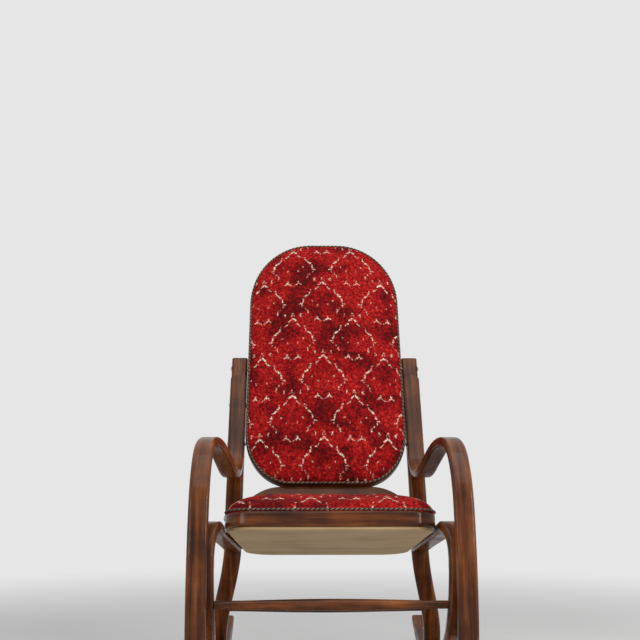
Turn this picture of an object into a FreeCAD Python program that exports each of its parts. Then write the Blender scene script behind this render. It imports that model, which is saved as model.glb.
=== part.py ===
import FreeCAD, Part
import math
import os

# Bentwood rocking chair, in millimetres. While it is built, Y = 0 is the seat ring's front
# top edge, +Y runs to the rear, and Z = 0 is the floor. The last step moves the whole chair
# so that the origin is the bottom centre of its bounding box.
Vector = FreeCAD.Vector
X_AXIS = Vector(1, 0, 0)

# Bent strips of the side frames
strip_width = 41.0
strip_thickness = 20.0
half_strip = strip_thickness / 2
strip_edge_radius = 7.0
arm_end_radius = 28.0

# Seat
seat_front_height = 440.0
seat_tilt = 11.9
seat_depth = 440.0
seat_front_half = 221.0
seat_rear_half = 194.0
seat_front_corner = 55.0
seat_rear_corner = 75.0
seat_rail_height = 33.0
seat_rail_width = 34.0
seat_board_thickness = 5.0
seat_board_inset = 7.0
seat_crown = 54.0

# Back
back_recline = 27.4
back_height = 738.0
back_half = 200.0
back_top_corner = (164.0, 198.0)
back_bottom_corner = (113.0, 143.0)
back_ring_depth = 25.0
back_rail_width = 30.0
back_board_thickness = 4.0
back_crown = 28.0
ring_edge_radius = 7.0
back_front_offset = 23.0
back_bottom_rise = 24.5

# Upholstery
cover_thickness = 2.0
trim_width = 5.0
trim_height = 6.5
trim_setback = 1.0
rear_trim_height = 3.0
tightest_corner = 12.0
# A pad's section: how far in from its edge, and the share of its crown there
crown_profile = ((0, 0), (6, 0.24), (25, 0.52), (60, 0.78), (105, 0.94), (150, 1.0))

# Rear posts: the centreline passes this point, on the recline
post_x = 222.0
post_point = (412.0, 449.0)
post_top_rise = 396.0
post_knee_radius = 190.0
post_rear_rake = 31.0
post_knee_height = 352.0
post_foot_y = 640.0
post_foot_lap = 75.0

# Arms
arm_top_rise = 331.0
arm_leaves_post = 130.0
arm_dip_radius = 120.0
arm_slope = 27.6
arm_slope_length = 79.0
arm_crest_radius = 184.0
arm_front_lean = 15.0
arm_front_radius = 850.0

# Runners
runner_x = 264.5
runner_radius = 1050.0
runner_low_y = 357.0
runner_rear_reach = 443.0

# Seat rails, and the scroll legs that carry them
seat_rail_drop = 26.5
seat_rail_knee_radius = 66.0
knee_crest_y = 31.5
knee_x = 242.0
seat_rail_length = 345.0
scroll_x = 253.0
scroll_radius = 170.0
scroll_slope = 25.0
scroll_lap_start_y = 445.0
scroll_lap_length = 95.0
arm_scarf_half = 35.0
knee_scarf_half = 22.0

# Where each strip's sideways sweep begins and ends: in Y, or in Z for the post
arm_sweep = (30.0, 425.0)
rail_sweep = (-45.0, 30.0, 400.0)
scroll_sweep = (-45.0, 250.0)
post_sweep = (80.0, 360.0)
sweep_tension = 0.4

# Arched rail under the back, and turned stretchers
arch_flat_half = 106.0
arch_radius = 110.0
arch_height = 24.0
arch_depth = 22.0
arch_leg_drop = 97.0
stretcher_end_radius = 8.0
stretcher_middle_radius = 13.0
front_stretcher_turn = 30.0
rear_stretcher_below_knee = 90.0
foot_stretcher_turn = 45.0

# Fasteners
bolt_radius = 3.0
bolt_head_radius = 7.0
bolt_head_height = 3.5
screw_radius = 2.0
screw_head_radius = 4.5
screw_head_height = 2.0
washer_radius = 8.0
head_sink = 0.5
spacer_radius = 10.0
back_washer_radius = 6.0
knee_bolt_back = 95.0
knee_bolt_down = 25.0
rear_bolt_back = 398.0
rear_bolt_down = 18.0
back_bolt_rises = (145.0, 256.0, 366.0)
back_bolt_forward = 3.0
arm_screw_rises = (170.0, 291.0)
arch_screw_drop = 78.0
lap_screw_length = 34.0
scroll_screw_places = (465.0, 510.0)
post_screw_places = (665.0, 695.0)
rail_screw_length = 60.0
into_ring = 22.0

# Room that is far larger than the chair, for cutting bands out of
wide = 2000.0


def heading_vector(degrees):
    """Direction in the side view: 0 points to the rear, 90 points up."""
    angle = math.radians(degrees)
    return Vector(0, math.cos(angle), math.sin(angle))


def left_of(direction):
    return Vector(0, -direction.z, direction.y)


def along(path):
    """Points and headings at the start and after each move of a side-view path."""
    point, heading, moves = path
    stations = [(point, heading)]
    for move in moves:
        direction = heading_vector(heading)
        if move[0] == "line":
            point = point + direction * move[1]
        else:
            radius, turn = move[1], move[2]
            side = 1 if turn > 0 else -1
            centre = point + left_of(direction) * (radius * side)
            heading = heading + turn
            point = centre - left_of(heading_vector(heading)) * (radius * side)
        stations.append((point, heading))
    return stations


def offset_edges(path, offset):
    """Edges of the path moved sideways by offset, to the left of its direction."""
    edges = []
    stations = along(path)
    for move, (start, heading_in), (end, heading_out) in zip(path[2], stations, stations[1:]):
        first = start + left_of(heading_vector(heading_in)) * offset
        last = end + left_of(heading_vector(heading_out)) * offset
        if move[0] == "line":
            edges.append(Part.LineSegment(first, last).toShape())
            continue
        side = 1 if move[2] > 0 else -1
        centre = start + left_of(heading_vector(heading_in)) * (move[1] * side)
        middle_side = left_of(heading_vector(heading_in + move[2] / 2))
        middle = centre - middle_side * (move[1] * side - offset)
        edges.append(Part.Arc(first, middle, last).toShape())
    return edges


def side_band(path, first_x=0.0, reach=wide):
    """A strip that follows the path in the side view, from first_x and as wide as reach."""
    upper = offset_edges(path, half_strip)
    lower = offset_edges(path, -half_strip)
    stations = along(path)
    caps = []
    for point, heading in (stations[0], stations[-1]):
        sideways = left_of(heading_vector(heading)) * half_strip
        caps.append(Part.LineSegment(point + sideways, point - sideways).toShape())
    outline = Part.Wire(Part.__sortEdges__(upper + lower + caps))
    outline.translate(X_AXIS * first_x)
    return Part.Face(outline).extrude(X_AXIS * reach)


def turns_a_corner(shape, edge):
    """Whether the two faces at an edge meet at an angle, and aren't one smooth face."""
    middle = edge.valueAt((edge.FirstParameter + edge.LastParameter) / 2)
    normals = [face.normalAt(*face.Surface.parameter(middle))
               for face in shape.ancestorsOfType(edge, Part.Face)]
    return normals[0].getAngle(normals[-1]) > 1


def eased(strip, path):
    """The strip of a path with its four long edges rounded."""
    strip = strip.Solids[0]
    stations = along(path)
    long_edges = []
    for edge in strip.Edges:
        at_an_end = False
        for point, heading in (stations[0], stations[-1]):
            gaps = [abs((vertex.Point - point).dot(heading_vector(heading))) for vertex in edge.Vertexes]
            at_an_end = at_an_end or max(gaps) < 0.01
        if not at_an_end and turns_a_corner(strip, edge):
            long_edges.append(edge)
    return strip.makeFillet(strip_edge_radius, long_edges)


def line_and_arc_to(start, heading, target, target_heading):
    """The straight run and the one bend that lead from a start to a target, both tangent."""
    away = heading_vector(heading)
    onward = heading_vector(target_heading)
    gap = target - start
    cross = away.y * onward.z - away.z * onward.y
    to_corner = (gap.y * onward.z - gap.z * onward.y) / cross
    corner = start + away * to_corner
    tangent = (target - corner).Length
    turn = target_heading - heading
    radius = tangent / math.tan(math.radians(abs(turn) / 2))
    return [("line", to_corner - tangent), ("arc", radius, turn)]


def bent_prism(bends, width, across, reach):
    """A band that follows bends, (place, x) pairs joined by S curves, along reach."""
    sides = []
    for shift in (-width / 2, width / 2):
        edges = []
        for (place, x), (next_place, next_x) in zip(bends, bends[1:]):
            third = (next_place - place) * sweep_tension
            poles = [(place, x), (place + third, x), (next_place - third, next_x), (next_place, next_x)]
            if x == next_x:
                poles = [poles[0], poles[-1]]
            curve = Part.BezierCurve()
            curve.setPoles([across(at, here + shift) for at, here in poles])
            edges.append(curve.toShape())
        sides.append(edges)
    ends = []
    for place, x in (bends[0], bends[-1]):
        first = across(place, x - width / 2)
        last = across(place, x + width / 2)
        ends.append(Part.LineSegment(first, last).toShape())
    outline = Part.Wire(Part.__sortEdges__(sides[0] + sides[1] + ends))
    return Part.Face(outline).extrude(reach)


def plan_prism(bends):
    """A band seen from above: bends give Y and X."""
    return bent_prism(bends, strip_width, lambda y, x: Vector(x, y, -wide), Vector(0, 0, 2 * wide))


def front_prism(bends):
    """A band seen from the front: bends give Z and X."""
    return bent_prism(bends, strip_width, lambda z, x: Vector(x, -wide, z), Vector(0, 2 * wide, 0))


def mirrored(shape):
    return shape.mirror(Vector(0, 0, 0), X_AXIS)


def cylinder(start, direction, radius, length):
    return Part.makeCylinder(radius, length, start, direction)


def bolt(head_seat, direction, shank_length, shank_radius, head_radius, head_height):
    """A domed head let in at head_seat by head_sink, with its shank along direction."""
    apex = Vector(0, 0, -head_height)
    shoulder = Vector(head_radius * 0.75, 0, -head_height * 0.6)
    rim = Vector(head_radius, 0, 0)
    neck = Vector(shank_radius, 0, 0)
    tip = Vector(shank_radius, 0, shank_length)
    end = Vector(0, 0, shank_length)
    edges = [Part.Arc(apex, shoulder, rim).toShape()]
    for first, last in ((rim, neck), (neck, tip), (tip, end), (end, apex)):
        edges.append(Part.LineSegment(first, last).toShape())
    solid = Part.Face(Part.Wire(edges)).revolve(Vector(0, 0, 0), Vector(0, 0, 1), 360)
    turn = FreeCAD.Rotation(Vector(0, 0, 1), direction)
    solid.Placement = FreeCAD.Placement(head_seat + direction * head_sink, turn)
    return solid


# Side-view frames of the seat and of the back
seat_turn = FreeCAD.Rotation(X_AXIS, -seat_tilt)
seat_place = FreeCAD.Placement(Vector(0, 0, seat_front_height), seat_turn)
back_turn = FreeCAD.Rotation(X_AXIS, 90 - back_recline)
post_heading = 270 - back_recline
post_up = heading_vector(post_heading - 180)
post_forward = left_of(post_up)
post_datum = Vector(0, post_point[0], post_point[1])
back_origin = post_datum + post_up * back_bottom_rise + post_forward * back_front_offset
back_place = FreeCAD.Placement(back_origin, back_turn)


def in_frame(placement, shape):
    placed = shape.copy()
    placed.Placement = placement
    return placed


def polygon_with_round_corners(corners, radii):
    """A closed outline of straight sides and tangent arcs, in its own XY plane."""
    edges = []
    count = len(corners)
    starts = []
    for i in range(count):
        before = (corners[i - 1] - corners[i]).normalize()
        after = (corners[(i + 1) % count] - corners[i]).normalize()
        half_angle = before.getAngle(after) / 2
        reach = radii[i] / math.tan(half_angle)
        bisector = (before + after).normalize()
        centre = corners[i] + bisector * (radii[i] / math.sin(half_angle))
        starts.append((corners[i] + before * reach, centre - bisector * radii[i], corners[i] + after * reach))
    for i in range(count):
        edges.append(Part.Arc(*starts[i]).toShape())
        edges.append(Part.LineSegment(starts[i][2], starts[(i + 1) % count][0]).toShape())
    return Part.Wire(edges)


def seat_outline(inset, height=0.0):
    """The seat ring's plan, drawn in by inset: front at the origin, rear along +Y."""
    taper = (seat_front_half - seat_rear_half) / seat_depth
    front_half = seat_front_half - inset * (1 + taper)
    rear_half = seat_rear_half - inset * (1 - taper)
    corners = [
        Vector(-front_half, inset, height),
        Vector(front_half, inset, height),
        Vector(rear_half, seat_depth - inset, height),
        Vector(-rear_half, seat_depth - inset, height),
    ]
    front = max(seat_front_corner - inset, tightest_corner)
    rear = max(seat_rear_corner - inset, tightest_corner)
    return polygon_with_round_corners(corners, [front, front, rear, rear])


def quarter_ellipse(centre, reach_x, reach_y, start, end):
    """A quarter of an ellipse from start to end degrees, counted from +X to +Y."""
    if reach_x >= reach_y:
        ellipse = Part.Ellipse(centre, reach_x, reach_y)
        return Part.ArcOfEllipse(ellipse, math.radians(start), math.radians(end)).toShape()
    tall = Part.Ellipse(centre + Vector(0, reach_y, 0), centre - Vector(reach_x, 0, 0), centre)
    return Part.ArcOfEllipse(tall, math.radians(start - 90), math.radians(end - 90)).toShape()


def back_outline(inset, height=0.0):
    """The back ring's outline, drawn in by inset: its bottom at the origin, up along +Y."""
    half = back_half - inset
    low, high = inset, back_height - inset
    low_x, low_y = [max(reach - inset, tightest_corner) for reach in back_bottom_corner]
    high_x, high_y = [max(reach - inset, tightest_corner) for reach in back_top_corner]
    centres = [
        (Vector(half - low_x, low + low_y, height), low_x, low_y, 270),
        (Vector(half - high_x, high - high_y, height), high_x, high_y, 0),
        (Vector(high_x - half, high - high_y, height), high_x, high_y, 90),
        (Vector(low_x - half, low + low_y, height), low_x, low_y, 180),
    ]
    edges = [quarter_ellipse(centre, rx, ry, start, start + 90) for centre, rx, ry, start in centres]
    joins = []
    for edge, following in zip(edges, edges[1:] + edges[:1]):
        first = edge.valueAt(edge.LastParameter)
        last = following.valueAt(following.FirstParameter)
        joins.append(Part.LineSegment(first, last).toShape())
    return Part.Wire(Part.__sortEdges__(edges + joins))


def slab(outline, inset, low, high):
    """A flat plate of the outline, from low to high along the frame's own Z."""
    return Part.Face(outline(inset, low)).extrude(Vector(0, 0, high - low))


def hoop(outline, width, low, high, radius):
    """A ring of the outline, its outer edges rounded."""
    outer = slab(outline, 0, low, high)
    rims = [edge for edge in outer.Edges if abs(edge.BoundBox.ZLength) < 0.001]
    outer = outer.makeFillet(radius, rims)
    return outer.cut(slab(outline, width, low - 1, high + 1))


def crowned(outline, inset, crown):
    """A pad that is domed: full at its border, level in the middle."""
    sections = [outline(inset + draw, crown * share) for draw, share in crown_profile]
    return Part.makeLoft(sections, True, True)


def border(outline, inner, outer, low, high):
    return slab(outline, outer, low, high).cut(slab(outline, inner, low - 1, high + 1))


def seat_point(x, back, down):
    """A point of the seat's own frame, in the chair's."""
    return seat_place.multVec(Vector(x, back, -down))


def runner_station(y, above):
    """A point over the runner at y, its centreline above that of the runner, and the heading."""
    radius = runner_radius - half_strip - above
    angle = math.asin((y - runner_low_y) / radius)
    point = Vector(0, y, runner_radius - radius * math.cos(angle))
    return point, 360 + math.degrees(angle), radius


def arc_for(length, radius):
    """A bend of the given length along its centreline."""
    return ("arc", radius, math.degrees(length / radius))


def joined_by_scarf(upper, lower, joint, x, half_length):
    """Two strips that overlap by the scarf's length, each planed to a taper there."""
    point, heading = joint
    slant = math.degrees(math.atan2(half_strip, half_length))
    normal = left_of(heading_vector(heading + slant))
    centre = point + X_AXIS * x
    reach = half_length * 2
    ahead = cylinder(centre, normal * -1, reach, reach)
    behind = cylinder(centre, normal, reach, reach)
    return upper.cut(ahead), lower.cut(behind)


# Side-view paths of the strips, from the top down or from the rear forwards
arm_up_heading = 180 - arm_slope
arm_down_heading = 270 - arm_front_lean
arm_path = (
    post_datum + post_up * arm_top_rise + post_forward * strip_thickness,
    post_heading,
    [
        ("line", arm_top_rise - arm_leaves_post),
        ("arc", arm_dip_radius, arm_up_heading - post_heading),
        ("line", arm_slope_length),
        ("arc", arm_crest_radius, arm_down_heading - arm_up_heading),
        ("arc", arm_front_radius, arm_front_lean),
    ],
)


def extended(path, move):
    return (path[0], path[1], path[2] + [move])


def begun_before(path, length, moves):
    """A path that starts within the last arc of another, length before its end."""
    radius, turn = path[2][-1][1:]
    overlap = math.degrees(length / radius)
    point, heading = along((path[0], path[1], path[2][:-1] + [("arc", radius, turn - overlap)]))[-1]
    return (point, heading, [("arc", radius, overlap)] + moves)


def runner_moves(start):
    """The front bend and the rocking arc, tangent to each other, after a vertical start."""
    rocking = runner_radius - half_strip
    ahead = runner_low_y - start.y
    above = runner_radius - start.z
    bend = (rocking ** 2 - ahead ** 2 - above ** 2) / (2 * (rocking - ahead))
    front_angle = math.degrees(math.asin((ahead - bend) / (rocking - bend)))
    rear_angle = math.degrees(math.asin(runner_rear_reach / rocking))
    return [("arc", bend, 90 - front_angle), ("arc", rocking, front_angle + rear_angle)]


arm_joint = along(arm_path)[-1]
runner_path = begun_before(arm_path, arm_scarf_half, runner_moves(arm_joint[0]))
arm_long_path = extended(arm_path, arc_for(arm_scarf_half, runner_path[2][1][1]))

# The seat rail runs level with the ring, then turns down over the knee
rail_heading = 180 - seat_tilt
knee_start = knee_crest_y + seat_rail_knee_radius * math.sin(math.radians(seat_tilt))
rail_front = seat_place.multVec(Vector(0, knee_start / math.cos(math.radians(seat_tilt)), -seat_rail_drop))
rail_path = (
    rail_front - heading_vector(rail_heading) * seat_rail_length,
    rail_heading,
    [("line", seat_rail_length), ("arc", seat_rail_knee_radius, 270 - rail_heading)],
)
knee_joint = along(rail_path)[-1]
rail_long_path = extended(rail_path, arc_for(knee_scarf_half, scroll_radius))


def landing(start, heading, y, lap):
    """The moves that bring a strip down onto the runner at y, and along it for the lap."""
    point, lap_heading, radius = runner_station(y, strip_thickness)
    return line_and_arc_to(start, heading, point, lap_heading) + [arc_for(lap, radius)]


def scroll_leg_path():
    bend = ("arc", scroll_radius, 90 - scroll_slope)
    start, heading = along((knee_joint[0], knee_joint[1], [bend]))[-1]
    moves = [bend] + landing(start, heading, scroll_lap_start_y, scroll_lap_length)
    return begun_before(rail_path, knee_scarf_half, moves)


def post_path():
    turn = back_recline + post_rear_rake
    tangent = post_knee_radius * math.tan(math.radians(turn / 2))
    corner_drop = (post_point[1] - post_knee_height) / math.cos(math.radians(back_recline))
    start = post_datum + post_up * post_top_rise
    moves = [("line", post_top_rise + corner_drop - tangent), ("arc", post_knee_radius, turn)]
    below, heading = along((start, post_heading, moves))[-1]
    moves += landing(below, heading, post_foot_y, post_foot_lap)
    return (start, post_heading, moves)


scroll_path = scroll_leg_path()
rear_post_path = post_path()

# How far out each strip stands, as seen from above or from the front
beyond = 1200.0
arm_bends = [(-beyond, runner_x), (arm_sweep[0], runner_x), (arm_sweep[1], post_x), (beyond, post_x)]
rail_bends = [(-beyond, scroll_x), (rail_sweep[0], scroll_x), (rail_sweep[1], knee_x),
              (rail_sweep[2], post_x), (beyond, post_x)]
scroll_bends = [(-beyond, scroll_x), (scroll_sweep[0], scroll_x),
                (scroll_sweep[1], runner_x), (beyond, runner_x)]
post_bends = [(-beyond, runner_x), (post_sweep[0], runner_x), (post_sweep[1], post_x), (beyond, post_x)]


def arched_end(arm):
    """The arm with its upper end, which lies on the post, cut to an arch."""
    reach = 2 * strip_width
    room = Part.makeBox(reach, reach, reach, Vector(-reach / 2, 0, -reach / 2))
    arch = Part.makeCylinder(arm_end_radius, reach, Vector(0, 0, -reach / 2))
    centre = arm_path[0] + X_AXIS * post_x - post_up * arm_end_radius
    return arm.cut(in_frame(FreeCAD.Placement(centre, back_turn), room.cut(arch)))


def side_frame():
    """The five bent strips of the right-hand side frame."""
    arm = eased(side_band(arm_long_path).common(plan_prism(arm_bends)), arm_long_path)
    runner = eased(side_band(runner_path, runner_x - strip_width / 2, strip_width), runner_path)
    arm, runner = joined_by_scarf(arched_end(arm), runner, arm_joint, runner_x, arm_scarf_half)
    rail = eased(side_band(rail_long_path).common(plan_prism(rail_bends)), rail_long_path)
    scroll = eased(side_band(scroll_path).common(plan_prism(scroll_bends)), scroll_path)
    rail, scroll = joined_by_scarf(rail, scroll, knee_joint, scroll_x, knee_scarf_half)
    post = eased(side_band(rear_post_path).common(front_prism(post_bends)), rear_post_path)
    return {
        "arm": arm,
        "runner": runner,
        "post": post,
        "seat_rail": rail.cut(post),
        "scroll_leg": scroll,
    }


def back_arch():
    """The arched rail that the back ring's lower end rests on, planed to fit the posts."""
    rear = -back_front_offset - arch_depth / 2

    def outline(inset):
        half = arch_flat_half + arch_radius - inset
        low = -2 * arch_leg_drop
        corners = [
            Vector(-half, low, rear),
            Vector(half, low, rear),
            Vector(half, -inset, rear),
            Vector(-half, -inset, rear),
        ]
        bend = arch_radius - inset
        return polygon_with_round_corners(corners, [bend / 2, bend / 2, bend, bend])
    depth = Vector(0, 0, arch_depth)
    bow = Part.Face(outline(0)).extrude(depth).cut(Part.Face(outline(arch_height)).extrude(depth))
    width = 2 * (post_x - strip_width / 2)
    corner = Vector(-width / 2, -arch_leg_drop, rear)
    room = Part.makeBox(width, arch_leg_drop, arch_depth, corner)
    return in_frame(back_place, bow.common(room))


def stretcher(point, half_length, ends):
    """A turned rod between the two side frames, its ends shaped to them."""
    profile = Part.BezierCurve()
    profile.setPoles([
        Vector(-half_length, stretcher_end_radius, 0),
        Vector(-half_length / 2, stretcher_end_radius, 0),
        Vector(0, 2 * stretcher_middle_radius - stretcher_end_radius, 0),
        Vector(half_length / 2, stretcher_end_radius, 0),
        Vector(half_length, stretcher_end_radius, 0),
    ])
    corners = [Vector(half_length, 0, 0), Vector(-half_length, 0, 0)]
    sides = [
        Part.LineSegment(Vector(half_length, stretcher_end_radius, 0), corners[0]).toShape(),
        Part.LineSegment(corners[0], corners[1]).toShape(),
        Part.LineSegment(corners[1], Vector(-half_length, stretcher_end_radius, 0)).toShape(),
    ]
    face = Part.Face(Part.Wire([profile.toShape()] + sides))
    rod = face.revolve(Vector(0, 0, 0), X_AXIS, 360)
    rod.translate(point)
    for end in ends:
        rod = rod.cut(end)
    return rod


def both_sides(shape):
    return [shape, mirrored(shape)]


def group(shapes):
    return Part.makeCompound(shapes)


def bored(shape, fasteners):
    """A piece with the holes that its fasteners fill."""
    for fastener in fasteners:
        if fastener.BoundBox.intersect(shape.BoundBox):
            shape = shape.cut(fastener)
    return shape


def screw_at(seat, direction, length):
    return bolt(seat, direction, length, screw_radius, screw_head_radius, screw_head_height)


def post_spot(rise, forward, x):
    return post_datum + post_up * rise + post_forward * forward + X_AXIS * x


def on_runner(y, above):
    """A point above the runner's centreline at y, and the way down through the runner."""
    point, heading, _ = runner_station(y, above)
    return point + X_AXIS * runner_x, left_of(heading_vector(heading)) * -1


def bolt_at(seat, length):
    return bolt(seat, X_AXIS * -1, length, bolt_radius, bolt_head_radius, bolt_head_height)


def lap_screws(places):
    """Screws through a strip that lies on the runner, and into the runner."""
    return [screw_at(*on_runner(y, strip_thickness + half_strip), lap_screw_length) for y in places]


def behind_post(post):
    """Where the line of the seat rail leaves the post's rear face, and the way in."""
    ahead = heading_vector(rail_heading)
    start = rail_path[0] + X_AXIS * post_x
    line = Part.LineSegment(start - ahead * strip_width * 2, start + ahead * strip_width * 2)
    crossing = line.toShape().common(post)
    return max((vertex.Point for vertex in crossing.Vertexes), key=lambda point: point.y), ahead


def outer_face(piece, point):
    """Where a line along X through a point leaves the piece on its outer side."""
    crossing = Part.LineSegment(point, point + X_AXIS * wide).toShape().common(piece)
    return max((vertex.Point for vertex in crossing.Vertexes), key=lambda place: place.x)


def make_fasteners(frame):
    """Screws and bolts of the right-hand side, by the joint that they hold."""
    post_outer = post_x + strip_width / 2
    knee_seat = outer_face(frame["seat_rail"], seat_point(0, knee_bolt_back, knee_bolt_down))
    rear_seat = seat_point(post_outer, rear_bolt_back, rear_bolt_down)
    arch_rise = back_bottom_rise - arch_screw_drop
    arch_seat = post_spot(arch_rise, 0, post_outer)
    rail_seat, rail_ahead = behind_post(frame["post"])
    through = strip_width + into_ring
    back_seats = [post_spot(rise, back_bolt_forward, post_outer) for rise in back_bolt_rises]
    return {
        "arm_screws": [screw_at(post_spot(rise, -half_strip, post_x), post_forward, lap_screw_length)
                       for rise in arm_screw_rises],
        "back_bolts": [bolt_at(seat, through) for seat in back_seats],
        "arch_bolts": [bolt_at(arch_seat, strip_width + arch_height / 2)],
        "knee_bolts": [bolt_at(knee_seat, through)],
        "seat_rear_bolts": [bolt_at(rear_seat, through + half_strip)],
        "scroll_leg_screws": lap_screws(scroll_screw_places),
        "post_foot_screws": lap_screws(post_screw_places),
        "seat_rail_screws": [screw_at(rail_seat, rail_ahead, rail_screw_length)],
    }


def make_seat():
    """The seat's hoop, underside board, stuffing, cover and gimp, in the chair's frame."""
    base = trim_setback + trim_width
    ring = hoop(seat_outline, seat_rail_width, -seat_rail_height, 0, ring_edge_radius)
    board = slab(seat_outline, seat_board_inset, -seat_rail_height - seat_board_thickness, -seat_rail_height)
    dome = crowned(seat_outline, base, seat_crown)
    inner_dome = crowned(seat_outline, base + cover_thickness, seat_crown - cover_thickness)
    plug = slab(seat_outline, seat_rail_width, -seat_rail_height, 0)
    pieces = {
        "seat_ring": ring,
        "seat_board": board,
        "seat_padding": inner_dome.fuse(plug).removeSplitter(),
        "seat_cover": dome.cut(inner_dome),
        "seat_trim": border(seat_outline, base, trim_setback, 0, trim_height),
    }
    return {name: in_frame(seat_place, shape) for name, shape in pieces.items()}


def make_back():
    """The back's hoop, board, stuffing, covers and gimp, in the chair's frame."""
    base = trim_setback + trim_width
    rear = -back_ring_depth
    ring = hoop(back_outline, back_rail_width, rear, 0, ring_edge_radius)
    board = slab(back_outline, back_rail_width, rear, rear + back_board_thickness)
    dome = crowned(back_outline, base, back_crown)
    inner_dome = crowned(back_outline, base + cover_thickness, back_crown - cover_thickness)
    plug = slab(back_outline, back_rail_width, rear + back_board_thickness, 0)
    rear_base = back_rail_width / 2
    pieces = {
        "back_ring": ring,
        "back_board": board,
        "back_padding": inner_dome.fuse(plug).removeSplitter(),
        "back_cover": dome.cut(inner_dome),
        "back_trim": border(back_outline, base, trim_setback, 0, trim_height),
        "back_rear_cover": slab(back_outline, rear_base, rear - cover_thickness, rear),
        "back_rear_trim": border(
            back_outline, rear_base, rear_base - trim_width, rear - rear_trim_height, rear),
    }
    return {name: in_frame(back_place, shape) for name, shape in pieces.items()}


def make_spacers(frame, seat_ring):
    """Washers and turned blocks that fill the gaps between the side frames and the hoops."""
    inward = X_AXIS * -1
    knee_spot = seat_point(knee_x, knee_bolt_back, knee_bolt_down)
    rear_spot = seat_point(post_x, rear_bolt_back, rear_bolt_down)
    knee_washer = cylinder(knee_spot, inward, washer_radius, strip_width)
    rear_block = cylinder(rear_spot, inward, spacer_radius, strip_width)
    post_gap = post_x - strip_width / 2 - back_half
    back_spots = [post_spot(rise, back_bolt_forward, back_half) for rise in back_bolt_rises]
    back_washers = [cylinder(spot, X_AXIS, back_washer_radius, post_gap) for spot in back_spots]
    return {
        "knee_washers": [knee_washer.cut(frame["seat_rail"]).cut(seat_ring)],
        "seat_rear_spacers": [rear_block.cut(frame["post"]).cut(frame["seat_rail"]).cut(seat_ring)],
        "back_washers": back_washers,
    }


def make_chair():
    """All the chair's pieces by name."""
    frame = side_frame()
    seat = make_seat()
    back = make_back()
    spacers = make_spacers(frame, seat["seat_ring"])
    fasteners = make_fasteners(frame)
    posts = both_sides(frame["post"])
    front_point = along((knee_joint[0], 270, [("arc", scroll_radius, front_stretcher_turn)]))[-1][0]
    foot_bend = runner_path[2][1]
    foot_point = along((arm_joint[0], 270, [("arc", foot_bend[1], foot_stretcher_turn)]))[-1][0]
    post_line = along(rear_post_path)
    rear_point = post_line[2][0] + heading_vector(post_line[2][1]) * rear_stretcher_below_knee
    pieces = dict(seat)
    pieces.update(back)
    pieces["back_arch"] = back_arch()
    pieces["front_stretcher"] = stretcher(front_point, scroll_x - strip_width / 2, [])
    pieces["foot_stretcher"] = stretcher(foot_point, runner_x - strip_width / 2, [])
    pieces["rear_stretcher"] = stretcher(rear_point, runner_x, posts)
    for name, shapes in spacers.items():
        spacers[name] = [bored(shape, sum(fasteners.values(), [])) for shape in shapes]
    every = [shape for shapes in fasteners.values() for side in shapes for shape in both_sides(side)]
    for name, shape in frame.items():
        pieces["right_" + name] = shape
        pieces["left_" + name] = mirrored(shape)
    for name in list(pieces):
        pieces[name] = bored(pieces[name], every)
    for name, shapes in list(spacers.items()) + list(fasteners.items()):
        pieces[name] = group([copy for shape in shapes for copy in both_sides(shape)])
    return pieces


def main():
    pieces = make_chair()
    whole = group(list(pieces.values())).optimalBoundingBox(False, False)
    home = Vector(-whole.Center.x, -whole.Center.y, -whole.ZMin)
    os.makedirs("parts", exist_ok=True)
    for name, shape in sorted(pieces.items()):
        shape.translate(home)
        shape.exportStep(os.path.join("parts", name + ".step"))
    print("origin moved by", home, "overall", whole.XLength, whole.YLength, whole.ZLength)


main()
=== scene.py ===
import math

import bpy
import numpy as np
from mathutils import Matrix, Vector


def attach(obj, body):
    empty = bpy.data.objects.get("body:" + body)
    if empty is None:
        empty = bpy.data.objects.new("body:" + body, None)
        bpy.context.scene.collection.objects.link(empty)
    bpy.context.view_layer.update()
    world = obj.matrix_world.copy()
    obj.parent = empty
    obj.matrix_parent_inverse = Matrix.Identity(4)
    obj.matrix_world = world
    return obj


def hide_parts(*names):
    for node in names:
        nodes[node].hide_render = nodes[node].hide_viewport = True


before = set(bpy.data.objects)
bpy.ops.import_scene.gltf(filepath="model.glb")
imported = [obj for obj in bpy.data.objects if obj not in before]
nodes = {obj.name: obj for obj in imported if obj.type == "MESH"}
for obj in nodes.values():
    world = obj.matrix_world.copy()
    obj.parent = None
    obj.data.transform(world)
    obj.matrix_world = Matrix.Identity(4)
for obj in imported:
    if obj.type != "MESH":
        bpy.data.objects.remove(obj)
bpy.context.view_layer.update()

# Frames of the back and of the seat, in metres, as in the CAD source
back_recline = math.radians(27.4)
seat_tilt = math.radians(11.9)
back_up = Vector((0, math.sin(back_recline), math.cos(back_recline)))
back_forward = Vector((0, -math.cos(back_recline), math.sin(back_recline)))
seat_rear = Vector((0, math.cos(seat_tilt), -math.sin(seat_tilt)))
seat_up = Vector((0, math.sin(seat_tilt), math.cos(seat_tilt)))
across = Vector((1, 0, 0))


def frame_matrix(origin, ahead, normal):
    """Places local X, Y and Z along the chair's X, the direction ahead and the normal."""
    matrix = Matrix((across, ahead, normal)).transposed().to_4x4()
    matrix.translation = origin
    return matrix


# The back ring's bottom front edge and the seat ring's front top edge. The CAD source builds
# the chair from the seat's front edge, and then moves it by home_y to its origin.
home_y = -0.362123
seat_front_height = 0.440
post_datum = Vector((0, 0.412 + home_y, 0.449))
back_bottom_rise = 0.0245
back_front_offset = 0.023
seat_origin = Vector((0, home_y, seat_front_height))
seat_place = frame_matrix(seat_origin, seat_rear, seat_up)
back_origin = post_datum + back_up * back_bottom_rise + back_forward * back_front_offset
back_place = frame_matrix(back_origin, back_up, back_forward)

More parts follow.
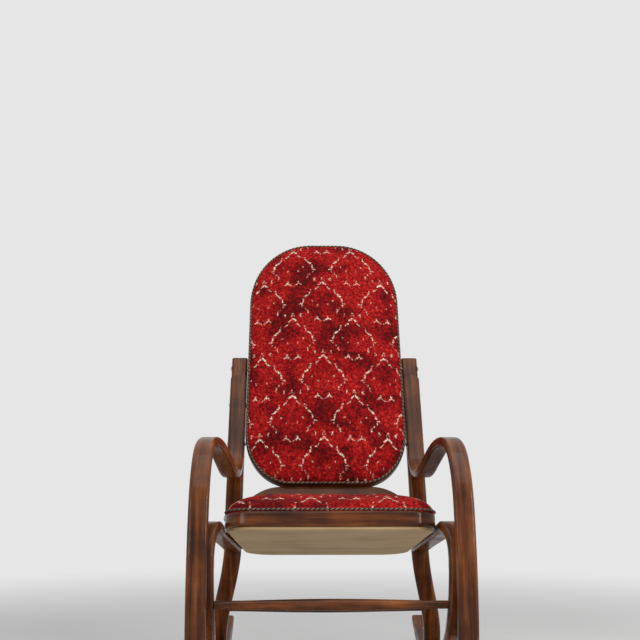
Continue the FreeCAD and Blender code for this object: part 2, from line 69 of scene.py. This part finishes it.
# The hoops' outlines, as in the CAD source
back_half, back_height, back_depth = 0.200, 0.738, 0.025
back_bottom_corner = (0.113, 0.143)
back_top_corner = (0.164, 0.198)
seat_front_half, seat_rear_half, seat_depth = 0.221, 0.194, 0.440
seat_front_corner, seat_rear_corner = 0.055, 0.075
tightest_corner = 0.012


class Graph:
    """A node tree, built by calls that return output sockets."""

    def __init__(self, tree):
        self.tree = tree

    def node(self, kind, inputs, output=0, **settings):
        made = self.tree.nodes.new(kind)
        for key, value in settings.items():
            setattr(made, key, value)
        for slot, value in inputs.items():
            if isinstance(value, bpy.types.NodeSocket):
                self.tree.links.new(value, made.inputs[slot])
            elif value is not None:
                made.inputs[slot].default_value = value
        return made.outputs[output]

    def place(self):
        return self.node("ShaderNodeTexCoord", {}, "Object")

    def math(self, operation, a, b=0.0, clamp=False):
        return self.node("ShaderNodeMath", {0: a, 1: b}, operation=operation, use_clamp=clamp)

    def vector(self, operation, a, b=(0, 0, 0)):
        return self.node("ShaderNodeVectorMath", {0: a, 1: b}, operation=operation)

    def dot(self, a, b):
        return self.node("ShaderNodeVectorMath", {0: a, 1: b}, "Value", operation="DOT_PRODUCT")

    def length(self, a):
        return self.node("ShaderNodeVectorMath", {0: a}, "Value", operation="LENGTH")

    def scale(self, a, factor):
        return self.node("ShaderNodeVectorMath", {0: a, "Scale": factor}, operation="SCALE")

    def join(self, x, y, z=0.0):
        return self.node("ShaderNodeCombineXYZ", {0: x, 1: y, 2: z})

    def noise(self, vector, scale, detail=2.0, roughness=0.5):
        inputs = {"Vector": vector, "Scale": scale, "Detail": detail, "Roughness": roughness}
        return self.node("ShaderNodeTexNoise", inputs)

    def ranged(self, value, low, high, to_low=0.0, to_high=1.0):
        inputs = {0: value, 1: low, 2: high, 3: to_low, 4: to_high}
        return self.node("ShaderNodeMapRange", inputs, interpolation_type="SMOOTHSTEP")

    def ramp(self, value, stops):
        made = self.tree.nodes.new("ShaderNodeValToRGB")
        self.tree.links.new(value, made.inputs[0])
        points = made.color_ramp.elements
        while len(points) < len(stops):
            points.new(0.5)
        for point, (position, colour) in zip(points, stops):
            point.position = position
            point.color = (*colour, 1)
        return made.outputs[0]

    def mix(self, factor, a, b):
        def whole(value):
            return (*value, 1) if isinstance(value, tuple) else value
        inputs = {0: factor, 6: whole(a), 7: whole(b)}
        return self.node("ShaderNodeMix", inputs, 2, data_type="RGBA")

    def seen(self):
        """1 for rays that show a thing to the camera, straight or by way of gloss or glass."""
        answer = 0.0
        for kind in ("Camera", "Glossy", "Transmission"):
            ray = self.node("ShaderNodeLightPath", {}, f"Is {kind} Ray")
            answer = self.math("MAXIMUM", ray, answer)
        return answer


class Paint(Graph):
    """The node tree of a new material, and what goes into its shader."""

    def __init__(self, name, **constant):
        self.material = bpy.data.materials.new(name)
        self.material.use_nodes = True
        super().__init__(self.material.node_tree)
        self.shader = self.tree.nodes["Principled BSDF"]
        for key, value in constant.items():
            self.shader.inputs[key.replace("_", " ")].default_value = value

    def colour(self, socket):
        self.tree.links.new(socket, self.shader.inputs["Base Color"])

    def roughness(self, socket):
        self.tree.links.new(socket, self.shader.inputs["Roughness"])

    def bump(self, height, distance, strength=1.0):
        inputs = {"Height": height, "Distance": distance, "Strength": strength}
        self.tree.links.new(self.node("ShaderNodeBump", inputs), self.shader.inputs["Normal"])


def deepened(stops, share):
    """A ramp's stops, every colour taken down to a share of itself."""
    return [(at, tuple(share * part for part in colour)) for at, colour in stops]


def wood(name, axis, along=False, painted_shade=1.0):
    """Stained, varnished beech. Its grain lies across the axis, or along it."""
    graph = Paint(name, Coat_Weight=0.22, Coat_Roughness=0.06, Specular_IOR_Level=0.12)
    place = graph.place()
    on_axis = graph.scale(tuple(axis), graph.dot(place, tuple(axis)))
    streak_scale, streak_extra = (90, -84) if along else (5, 95)
    pore_scale, pore_extra = (900, -860) if along else (45, 900)
    streak = graph.vector("ADD", graph.scale(place, streak_scale), graph.scale(on_axis, streak_extra))
    pores = graph.vector("ADD", graph.scale(place, pore_scale), graph.scale(on_axis, pore_extra))
    grain = graph.noise(streak, 1.0, 5.0, 0.62)
    cloud = graph.noise(place, 7.0, 3.0, 0.55)
    tone = graph.math("ADD", graph.math("MULTIPLY", grain, 0.55), graph.math("MULTIPLY", cloud, 0.45))
    tones = [
        (0.34, (0.020, 0.0050, 0.0014)),
        (0.46, (0.070, 0.0180, 0.0042)),
        (0.55, (0.155, 0.0430, 0.0095)),
        (0.68, (0.300, 0.0950, 0.0220)),
    ]
    # The last argument darkens every tone to a share of itself: painted shade, for parts that sit in shade.
    colour = graph.ramp(tone, deepened(tones, painted_shade))
    pore = graph.ranged(graph.noise(pores, 1.0, 2.0), 0.62, 0.72)
    colour = graph.mix(graph.math("MULTIPLY", pore, 0.55), colour, (0.022, 0.008, 0.004))
    dent = graph.node("ShaderNodeTexVoronoi", {"Vector": place, "Scale": 42.0}, "Distance")
    rare = graph.ranged(graph.noise(place, 31.0), 0.66, 0.70)
    nick = graph.math("MULTIPLY", graph.ranged(dent, 0.035, 0.06, 1.0, 0.0), rare)
    colour = graph.mix(graph.math("MULTIPLY", nick, 0.8), colour, (0.55, 0.40, 0.28))
    graph.colour(colour)
    graph.roughness(graph.ranged(graph.noise(place, 18.0, 3.0), 0.3, 0.75, 0.24, 0.46))
    hollows = graph.math("ADD", pore, nick)
    graph.bump(graph.math("SUBTRACT", graph.math("MULTIPLY", grain, 0.35), hollows), 0.0004, 0.5)
    return graph.material


# One cell of the velvet's lattice, in millimetres: half its width and half its height,
# and its strokes as (x from the motif's middle, y down from its tip) pairs with a half-width,
# of which stroke_share is drawn. The velvet's reds are taken down to pile_depth.
cell_half_width = 79.0
cell_half_height = 118.5
stroke_share = 0.68
pile_depth = 0.886
outline_strokes = [
    ((0, 0), (9, 8.5), 2.3),
    ((12, 17), (19.5, 25), 1.5),
    ((31.5, 26), (32, 27), 1.6),
    ((33, 33), (35.5, 40), 1.7),
    ((40, 44), (47, 50), 2.6),
    ((50.5, 57), (52, 66), 2.0),
    ((54, 72), (60.5, 73), 1.5),
    ((53.5, 78), (54, 82), 1.1),
    ((46, 86), (44.5, 90), 0.9),
    ((40, 93), (38.5, 104), 1.2),
    ((27, 63), (27.5, 64), 1.6),
    ((13, 76), (14, 79), 1.0),
]
crown_strokes = [
    ((22, -14), (19.5, -10), 1.5),
    ((19.5, -10), (21.5, -6), 1.4),
    ((0, -16), (0.5, -15), 1.6),
    ((1, -11), (4.5, -7), 0.8),
    ((65, -4), (64.5, 2), 1.7),
    ((64.5, 2), (58, 7), 1.7),
    ((64.5, 2), (70, 6), 1.9),
    ((73, 9), (76, 11), 0.9),
]


def lattice(graph, along, sideways, lead, strokes, wobble):
    """How far, in millimetres, a point is outside the strokes of its cell."""
    lowered = graph.math("ADD", along, lead)
    row = graph.math("FLOOR", graph.math("DIVIDE", lowered, cell_half_height))
    above = graph.math("MULTIPLY", row, cell_half_height)
    down = graph.math("SUBTRACT", graph.math("SUBTRACT", lowered, above), lead)
    shifted = graph.math("ADD", sideways, graph.math("MULTIPLY", row, cell_half_width))
    out = graph.math("PINGPONG", shifted, cell_half_width)
    point = graph.vector("ADD", graph.join(out, down), wobble)
    nearest = None
    for start, end, half_width in strokes:
        first = Vector((*start, 0))
        reach = Vector((*end, 0)) - first
        gap = graph.vector("SUBTRACT", point, tuple(first))
        share = graph.math("MULTIPLY", graph.dot(gap, tuple(reach / reach.length_squared)), 1.0, clamp=True)
        away = graph.length(graph.vector("SUBTRACT", gap, graph.scale(tuple(reach), share)))
        outside = graph.math("SUBTRACT", away, half_width * stroke_share)
        nearest = outside if nearest is None else graph.math("MINIMUM", nearest, outside)
    return nearest


def velvet(name, place_matrix, column_shift, row_shift):
    """Red cut velvet with a cream lattice, drawn in a pad's own plane."""
    graph = Paint(name, Roughness=0.85, Sheen_Weight=0.12, Sheen_Roughness=0.30,
                  Sheen_Tint=(1.0, 0.26, 0.18, 1), Specular_IOR_Level=0.12)
    place = graph.place()
    from_origin = graph.vector("SUBTRACT", place, tuple(place_matrix.translation))
    millimetres = graph.scale(from_origin, 1000.0)
    sideways = graph.math("ADD", graph.dot(millimetres, (1, 0, 0)), column_shift)
    ahead = tuple(place_matrix.col[1].to_3d())
    along = graph.math("SUBTRACT", row_shift, graph.dot(millimetres, ahead))
    drift = graph.node("ShaderNodeTexNoise", {"Vector": place, "Scale": 260.0, "Detail": 1.0}, "Color")
    wobble = graph.scale(graph.vector("SUBTRACT", drift, (0.5, 0.5, 0.5)), 9.0)
    tips = lattice(graph, along, sideways, 8.0, outline_strokes, wobble)
    marks = lattice(graph, along, sideways, 30.0, crown_strokes, wobble)
    outside = graph.math("MINIMUM", tips, marks)
    worn = graph.ranged(graph.noise(place, 330.0, 2.0, 0.6), 0.36, 0.48)
    cream = graph.math("MULTIPLY", graph.ranged(outside, -0.5, 1.0, 1.0, 0.0), worn)
    glow = graph.ranged(outside, 0.2, 2.4, 0.22, 0.0)
    patch = graph.noise(place, 13.0, 3.0, 0.55)
    fleck = graph.noise(place, 150.0, 3.0, 0.6)
    pile = graph.noise(place, 620.0, 2.0, 0.6)
    tone = graph.math("ADD", graph.math("MULTIPLY", fleck, 0.62), graph.math("MULTIPLY", pile, 0.38))
    tone = graph.math("ADD", tone, graph.ranged(patch, 0.34, 0.58, -0.10, 0.03))
    # The pile's reds vary at random in tone; the top, orange stop is a painted glint on the pile.
    reds_and_painted_glints = [
        (0.36, (0.055, 0.0006, 0.0012)),
        (0.44, (0.160, 0.0014, 0.0026)),
        (0.52, (0.330, 0.0030, 0.0045)),
        (0.59, (0.500, 0.0110, 0.0100)),
        (0.68, (0.680, 0.0700, 0.0400)),
    ]
    red = graph.ramp(tone, deepened(reds_and_painted_glints, pile_depth))
    red = graph.mix(glow, red, (0.70, 0.16, 0.10))
    graph.colour(graph.mix(cream, red, (0.93, 0.76, 0.60)))
    height = graph.math("ADD", graph.math("MULTIPLY", fleck, 0.7), graph.math("MULTIPLY", pile, 0.5))
    graph.bump(graph.math("SUBTRACT", height, graph.math("MULTIPLY", cream, 0.35)), 0.0022, 0.8)
    return graph.material


def thread(name, dark, light):
    """Spun thread between a dark and a light colour."""
    graph = Paint(name, Roughness=0.7, Sheen_Weight=0.3, Specular_IOR_Level=0.3)
    place = graph.place()
    fibre = graph.noise(place, 1500.0, 3.0, 0.6)
    slow = graph.noise(place, 30.0, 2.0)
    tone = graph.math("ADD", graph.math("MULTIPLY", fibre, 0.7), graph.math("MULTIPLY", slow, 0.3))
    graph.colour(graph.ramp(tone, [(0.35, dark), (0.65, light)]))
    graph.bump(fibre, 0.0004, 0.6)
    return graph.material


def board(name):
    """Bare thin plywood with a pale, slightly streaked face."""
    graph = Paint(name, Roughness=0.62, Specular_IOR_Level=0.35)
    place = graph.place()
    streaks = graph.noise(graph.vector("MULTIPLY", place, (5.0, 60.0, 60.0)), 1.0, 5.0, 0.6)
    cloud = graph.noise(place, 9.0, 2.0)
    tone = graph.math("ADD", graph.math("MULTIPLY", streaks, 0.6), graph.math("MULTIPLY", cloud, 0.4))
    graph.colour(graph.ramp(tone, [
        (0.30, (0.34, 0.22, 0.11)),
        (0.50, (0.50, 0.35, 0.18)),
        (0.70, (0.60, 0.45, 0.26)),
    ]))
    graph.bump(streaks, 0.0003, 0.4)
    return graph.material


def lining(name):
    """Plain woven backing cloth, drawn by two crossed sets of threads."""
    graph = Paint(name, Roughness=0.9, Sheen_Weight=0.2, Specular_IOR_Level=0.2)
    place = graph.place()
    warp = graph.math("SINE", graph.math("MULTIPLY", graph.dot(place, (1, 0, 0)), 5200.0))
    weft = graph.math("SINE", graph.math("MULTIPLY", graph.dot(place, tuple(back_up)), 5200.0))
    weave = graph.ranged(graph.math("MULTIPLY", warp, weft), -1.0, 1.0)
    cloud = graph.noise(place, 25.0, 4.0, 0.6)
    tone = graph.math("ADD", graph.math("MULTIPLY", weave, 0.4), graph.math("MULTIPLY", cloud, 0.6))
    graph.colour(graph.ramp(tone, [
        (0.25, (0.060, 0.010, 0.010)),
        (0.50, (0.110, 0.020, 0.018)),
        (0.75, (0.170, 0.036, 0.030)),
    ]))
    graph.bump(weave, 0.0003, 0.6)
    return graph.material


def steel(name):
    """Plated steel with a mottled tarnish."""
    graph = Paint(name, Metallic=1.0)
    place = graph.place()
    tarnish = graph.noise(place, 320.0, 3.0, 0.6)
    graph.colour(graph.ramp(tarnish, [(0.35, (0.20, 0.16, 0.12)), (0.6, (0.62, 0.58, 0.52))]))
    graph.roughness(graph.ranged(tarnish, 0.3, 0.7, 0.5, 0.25))
    graph.bump(tarnish, 0.0002, 0.4)
    return graph.material


def dress(node, material):
    nodes[node].data.materials.clear()
    nodes[node].data.materials.append(material)


def made_piece(name, vertices, faces, material, replaced=()):
    mesh = bpy.data.meshes.new(name)
    mesh.from_pydata([tuple(point) for point in vertices], [], faces)
    mesh.materials.append(material)
    mesh.shade_smooth()
    piece = bpy.data.objects.new(name, mesh)
    bpy.context.scene.collection.objects.link(piece)
    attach(piece, "root")
    if replaced:
        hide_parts(*replaced)
    return piece


def corner_arc(centre, reach_x, reach_y, start, count):
    angles = np.radians(np.linspace(start, start + 90, count))
    return np.stack([centre[0] + reach_x * np.cos(angles), centre[1] + reach_y * np.sin(angles)], 1)


def drawn_in(reaches, inset):
    return [max(reach - inset, tightest_corner) for reach in reaches]


def back_outline(inset, count=40):
    """The back ring's outline, drawn in by inset, as points round it."""
    half = back_half - inset
    low, high = inset, back_height - inset
    low_x, low_y = drawn_in(back_bottom_corner, inset)
    high_x, high_y = drawn_in(back_top_corner, inset)
    return np.concatenate([
        corner_arc((half - low_x, low + low_y), low_x, low_y, -90, count),
        corner_arc((half - high_x, high - high_y), high_x, high_y, 0, count),
        corner_arc((high_x - half, high - high_y), high_x, high_y, 90, count),
        corner_arc((low_x - half, low + low_y), low_x, low_y, 180, count),
    ])


def seat_outline(inset, count=24):
    """The seat ring's plan, drawn in by inset, as points round it."""
    taper = (seat_front_half - seat_rear_half) / seat_depth
    front_half = seat_front_half - inset * (1 + taper)
    rear_half = seat_rear_half - inset * (1 - taper)
    front, rear = drawn_in((seat_front_corner, seat_rear_corner), inset)
    return np.concatenate([
        corner_arc((front_half - front, inset + front), front, front, -90, count),
        corner_arc((rear_half - rear, seat_depth - inset - rear), rear, rear, 0, count),
        corner_arc((rear - rear_half, seat_depth - inset - rear), rear, rear, 90, count),
        corner_arc((front - front_half, inset + front), front, front, 180, count),
    ])


def evenly(points, step):
    """Points spaced evenly round a closed line, and the line's length."""
    closed = np.concatenate([points, points[:1]])
    lengths = np.linalg.norm(np.diff(closed, axis=0), axis=1)
    total = lengths.sum()
    at = np.concatenate([[0], np.cumsum(lengths)])
    count = int(round(total / step))
    wanted = np.linspace(0, total, count, endpoint=False)
    return np.stack([np.interp(wanted, at, closed[:, i]) for i in range(closed.shape[1])], 1), total


def placed(matrix, points):
    return points @ np.array(matrix.to_3x3()).T + np.array(matrix.translation)


# Pads, in metres: how far in from the outline they begin, how deep their edge is tucked below
# the hoop's face, their crowns, and how far in from the edge each share of the crown is reached
pad_inset = 0.003
pad_tuck = 0.006
back_crown = 0.027
seat_crown = 0.053
crown_profile = [(0, 0), (0.003, 0.15), (0.008, 0.29), (0.016, 0.43), (0.028, 0.56), (0.045, 0.69),
                 (0.065, 0.80), (0.090, 0.90), (0.120, 0.965), (0.150, 1.0)]

# The cloth simulation that swells a pad: how much of its border and underside stays still and
# how far a point may go, in metres, then the pressure and the last frame
held_border = 0.012
held_underside = 0.002
most_swell = 0.005
swell_pressure = 4.0
last_frame = 20


def pad(name, outline, matrix, crown, material, replaced):
    """A crowned, closed pad. A full run swells it a little in a cloth simulation."""
    rings = [(outline(pad_inset), -pad_tuck)]
    rings += [(outline(pad_inset + draw), crown * share) for draw, share in crown_profile]
    count = len(rings[0][0])
    vertices = np.concatenate([np.column_stack([flat, np.full(count, height)]) for flat, height in rings])
    faces = []
    for ring in range(len(rings) - 1):
        here, above = ring * count, (ring + 1) * count
        for i in range(count):
            j = (i + 1) % count
            faces.append((here + i, here + j, above + j, above + i))
    top = (len(rings) - 1) * count
    faces.append(tuple(range(count - 1, -1, -1)))
    faces.append(tuple(range(top, top + count)))
    piece = made_piece(name, placed(matrix, vertices), faces, material, replaced)
    remesh = piece.modifiers.new("voxels", "REMESH")
    remesh.mode = "VOXEL"
    remesh.voxel_size = 0.004
    apply_modifiers(piece)
    swell(piece, matrix, outline(pad_inset))
    soften = piece.modifiers.new("soften", "SMOOTH")
    soften.factor = 0.5
    soften.iterations = 4
    finer = piece.modifiers.new("finer", "SUBSURF")
    finer.levels = finer.render_levels = 1
    apply_modifiers(piece)
    piece.data.shade_smooth()


def apply_modifiers(piece):
    bpy.context.view_layer.update()
    graph = bpy.context.evaluated_depsgraph_get()
    mesh = bpy.data.meshes.new_from_object(piece.evaluated_get(graph))
    old = piece.data
    piece.modifiers.clear()
    piece.data = mesh
    bpy.data.meshes.remove(old)


def points_of(mesh):
    points = np.empty(len(mesh.vertices) * 3)
    mesh.vertices.foreach_get("co", points)
    return points.reshape(-1, 3)


def swell(piece, matrix, border):
    """Blows the pad up with its border and underside held, and caps how far a point goes."""
    before = points_of(piece.data)
    local = (before - np.array(matrix.translation)) @ np.array(matrix.to_3x3())
    edge, _ = evenly(border, 0.004)
    away = np.sqrt(((local[:, None, :2] - edge[None]) ** 2).sum(2).min(1))
    held = piece.vertex_groups.new(name="held")
    keep = np.where((away < held_border) | (local[:, 2] < held_underside))[0]
    held.add([int(i) for i in keep], 1.0, "REPLACE")
    cloth = piece.modifiers.new("cloth", "CLOTH")
    cloth.settings.use_pressure = True
    cloth.settings.uniform_pressure_force = swell_pressure
    cloth.settings.vertex_group_mass = "held"
    cloth.settings.effector_weights.gravity = 0.0
    cloth.settings.quality = 4
    scene = bpy.context.scene
    for number in range(1, last_frame + 1):
        scene.frame_set(number)
    apply_modifiers(piece)
    after = points_of(piece.data)
    move = after - before
    reach = np.linalg.norm(move, axis=1, keepdims=True)
    move *= np.minimum(1.0, most_swell / np.maximum(reach, 1e-9))
    piece.data.vertices.foreach_set("co", (before + move).ravel())
    piece.data.update()
    scene.frame_set(1)


def rope(name, outline, matrix, inset, height, twist_radius, pitch, strands, replaced):
    """A twisted cord laid round an outline: its strands, each a tube along a helix."""
    flat, total = evenly(outline(inset), 0.0011)
    count = len(flat)
    turns = round(total / pitch)
    ahead = np.roll(flat, -1, 0) - np.roll(flat, 1, 0)
    ahead /= np.linalg.norm(ahead, axis=1, keepdims=True)
    outwards = np.column_stack([ahead[:, 1], -ahead[:, 0], np.zeros(count)])
    line = np.column_stack([flat, np.full(count, height)])
    angle = np.arange(count) / count * turns * 2 * math.pi
    up = np.array([0, 0, 1.0])
    sides = 6
    for number, (material, strand_radius) in enumerate(strands):
        phase = angle + number * 2 * math.pi / len(strands)
        middle = line + twist_radius * (np.cos(phase)[:, None] * outwards + np.sin(phase)[:, None] * up)
        rings = []
        for side in range(sides):
            round_angle = side * 2 * math.pi / sides
            spoke = math.cos(round_angle) * outwards + math.sin(round_angle) * up
            rings.append(middle + strand_radius * spoke)
        vertices = np.stack(rings, 1).reshape(-1, 3)
        faces = []
        for i in range(count):
            here = i * sides
            onward = (i + 1) % count * sides
            for side in range(sides):
                after = (side + 1) % sides
                faces.append((here + side, onward + side, onward + after, here + after))
        stands_for = replaced if number == 0 else ()
        title = f"{name}_strand_{number + 1}"
        made_piece(title, placed(matrix, vertices), faces, material, stands_for)


# Materials
side_wood = wood("wood_side_frames", across)
post_wood = wood("wood_posts", across)
seat_wood = wood("wood_seat_ring", seat_up)
# The back ring and the arch: the same beech taken down to half, as painted shade for the shade they sit in.
back_wood_painted_shade = wood("wood_back_ring_painted_shade", back_forward, painted_shade=0.5)
turned_wood = wood("wood_turned", across, along=True)
bronze = thread("gimp_bronze", (0.008, 0.004, 0.002), (0.050, 0.026, 0.012))
gold = thread("gimp_gold", (0.16, 0.090, 0.045), (0.56, 0.38, 0.22))
plated = steel("plated_steel")
bare_board = board("bare_board")
backing = lining("backing_cloth")

for node in nodes:
    if node.endswith(("_arm", "_runner", "_scroll_leg", "_seat_rail")):
        dress(node, side_wood)
    elif node.endswith("_post"):
        dress(node, post_wood)
    elif node.endswith(("stretcher", "spacers")):
        dress(node, turned_wood)
    elif node.endswith(("bolts", "screws", "washers")):
        dress(node, plated)
    elif node.endswith("_board"):
        dress(node, bare_board)
dress("seat_ring", seat_wood)
dress("back_ring", back_wood_painted_shade)
dress("back_arch", back_wood_painted_shade)
dress("back_rear_cover", backing)

# Where the lattice lies on a pad, in millimetres: a column's shift to the side, then the height
# of a row of tips, with whole rows added so that every row on the pad counts down from the top
whole_rows = 8 * cell_half_height
back_velvet = velvet("velvet_back", back_place, 5.0, 114.6 + whole_rows)
seat_velvet = velvet("velvet_seat", seat_place, 40.0, 40.0 + whole_rows)
pad("back_velvet_pad", back_outline, back_place, back_crown, back_velvet, ("back_cover", "back_padding"))
pad("seat_velvet_pad", seat_outline, seat_place, seat_crown, seat_velvet, ("seat_cover", "seat_padding"))

# Gimp, in metres: where a cord lies, in from the outline and over the hoop, how wide it twists,
# and its strands' radii
gimp_lie = (0.0036, 0.0026)
gimp_twist = 0.0012
strands = [(bronze, 0.0015), (gold, 0.0010), (bronze, 0.0015)]
rear_lie = (0.0125, -0.0017)
rear_twist = 0.0009
thin_strands = [(bronze, 0.0012), (gold, 0.0008), (bronze, 0.0012)]
rear_place = frame_matrix(back_origin - back_forward * back_depth, back_up, back_forward)
rope("back_gimp", back_outline, back_place, *gimp_lie, gimp_twist, 0.0110, strands, ("back_trim",))
rope("seat_gimp", seat_outline, seat_place, *gimp_lie, gimp_twist, 0.0100, strands, ("seat_trim",))
rope("back_rear_gimp", back_outline, rear_place, *rear_lie, rear_twist, 0.0100, thin_strands,
     ("back_rear_trim",))

# A round floor, open on every side, that fades into the plain background away from the chair
background = (0.79, 0.79, 0.79)
floor_radius = 14.0
floor_sides = 64
fade_start, fade_end = 1.1, 3.0


def floor_paint():
    """Plain pale paint that turns into the background away from the chair."""
    graph = Paint("floor_paint", Roughness=0.95, Specular_IOR_Level=0.0, Emission_Color=(*background, 1))
    place = graph.place()
    away = graph.ranged(graph.length(place), fade_start, fade_end)
    fade = graph.math("MULTIPLY", away, graph.seen())
    plain = graph.ramp(graph.noise(place, 1.3, 3.0), [(0.3, (0.78, 0.78, 0.78)), (0.7, (0.82, 0.82, 0.82))])
    graph.colour(graph.mix(fade, plain, (0.0, 0.0, 0.0)))
    graph.tree.links.new(fade, graph.shader.inputs["Emission Strength"])
    return graph.material


corners = [(floor_radius * math.cos(a), floor_radius * math.sin(a), 0.0)
           for a in np.linspace(0, 2 * math.pi, floor_sides, endpoint=False)]
floor_mesh = bpy.data.meshes.new("floor")
floor_mesh.from_pydata(corners, [], [tuple(range(floor_sides))])
floor_mesh.materials.append(floor_paint())
floor = bpy.data.objects.new("floor", floor_mesh)
bpy.context.scene.collection.objects.link(floor)


def lamp(name, place, target, size, power, colour=(1, 1, 1)):
    data = bpy.data.lights.new(name, "AREA")
    data.shape = "RECTANGLE"
    data.size, data.size_y = size
    data.energy = power
    data.color = colour
    light = bpy.data.objects.new(name, data)
    light.location = place
    light.rotation_euler = (Vector(target) - Vector(place)).to_track_quat("-Z", "Y").to_euler()
    bpy.context.scene.collection.objects.link(light)


lamp("window_right", (2.6, -2.2, 1.9), (0.0, 0.0, 0.7), (1.1, 1.7), 60, (1.0, 0.985, 0.96))
lamp("window_left", (-2.4, -2.8, 1.7), (0.0, 0.0, 0.7), (1.0, 1.6), 26, (0.96, 0.98, 1.0))
lamp("ceiling", (0.2, -0.6, 3.2), (0.0, 0.2, 0.5), (2.6, 2.6), 34)

# The world lights the chair evenly, and shows the plain background to the camera
world_strength = 0.36
world = bpy.data.worlds.new("world")
bpy.context.scene.world = world
world.use_nodes = True
sky = Graph(world.node_tree)
daylight = sky.tree.nodes["Background"]
daylight.inputs["Color"].default_value = (1, 1, 1, 1)
daylight.inputs["Strength"].default_value = world_strength
shown = sky.node("ShaderNodeBackground", {"Color": (*background, 1)})
blend = sky.node("ShaderNodeMixShader", {0: sky.seen(), 1: daylight.outputs[0], 2: shown})
sky.tree.links.new(blend, sky.tree.nodes["World Output"].inputs["Surface"])

# Camera, as fitted to the photograph: its focal length in pixels of a picture 640 wide, its
# place in metres, and how far it looks up and to the left, in degrees
focal_pixels = 1050.0
picture_pixels = 640.0
sensor_width = 36.0
camera_place = (-0.060, -2.524, 0.5441)
look_up = 7.5
look_left = -1.0
camera_data = bpy.data.cameras.new("camera")
camera_data.sensor_width = sensor_width
camera_data.lens = focal_pixels / picture_pixels * sensor_width
camera = bpy.data.objects.new("camera", camera_data)
camera.location = camera_place
camera.rotation_euler = (math.radians(90 + look_up), 0.0, math.radians(look_left))
bpy.context.scene.collection.objects.link(camera)
bpy.context.scene.camera = camera
bpy.context.scene.view_settings.view_transform = "Standard"
